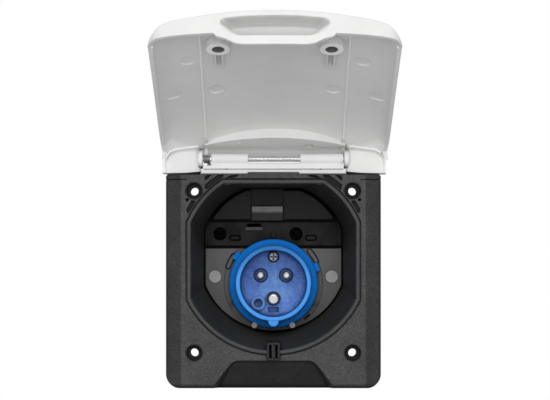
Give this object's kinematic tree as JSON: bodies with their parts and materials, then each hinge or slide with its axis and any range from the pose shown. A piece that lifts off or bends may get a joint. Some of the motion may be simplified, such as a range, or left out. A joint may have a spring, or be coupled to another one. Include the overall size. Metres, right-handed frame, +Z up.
{
  "type": "power inlet",
  "caption": "Flush-mounted wall power inlet: black flange and chamber with a blue pin inlet on its floor, a white lid hinged along the top, and a rear housing with a cable gland.",
  "frame": {"origin": "centre of the four flange screw holes, in the wall plane at the back of the flange gasket", "axes": "+Z up, -Y towards the person in front of the wall, +Y into the wall, +X to that person's right"},
  "size_m": [0.1318, 0.248, 0.2011],
  "materials": {
    "black_body": "fine-grained moulded black",
    "black_cover": "smooth moulded black",
    "black_housing": "moulded black",
    "gland_black": "moulded black nylon",
    "foam": "closed-cell foam",
    "seal_rubber": "moulded rubber",
    "white_lid": "white, satin inside",
    "white_trim": "white satin",
    "grey_plate": "dark grey moulded",
    "light_heads": "light grey moulded",
    "blue_shroud": "azure blue",
    "blue_carrier": "darker blue",
    "contact_metal": "nickel-plated brass",
    "pin_steel": "bright drawn rod",
    "screw_steel": "zinc-plated",
    "spring_steel": "spring wire"
  },
  "bodies": {
    "base": {"base_frame": "black_body", "flange_gasket": "foam", "hinge_strip": "white_trim", "hinge_strip_screws": "screw_steel", "lid_spring": "spring_steel", "terminal_cover": "black_cover", "inlet_plate": "grey_plate", "plate_rivets": "light_heads", "collar_pins": "light_heads", "inlet_gasket": "seal_rubber", "inlet_shroud": "blue_shroud", "contact_carrier": "blue_carrier", "carrier_screw": "screw_steel", "contact_pin_line": "contact_metal", "contact_pin_neutral": "contact_metal", "contact_pin_earth": "contact_metal", "terminal_screws": "screw_steel", "rear_seal": "seal_rubber", "rear_housing": "black_housing", "rear_housing_screws": "screw_steel", "gland_body": "gland_black", "gland_locknut": "gland_black", "gland_seal": "seal_rubber", "gland_nut": "gland_black"},
    "lid": {"lid": "white_lid", "hinge_pin": "pin_steel"}
  },
  "joints": [
    {"name": "lid_hinge", "type": "hinge", "parent": "base", "child": "lid", "pos_m": [0, -0.0095, 0.0647], "axis": [1, 0, 0], "range_deg": [0, 112], "deforming": ["lid_spring"]}
  ]
}
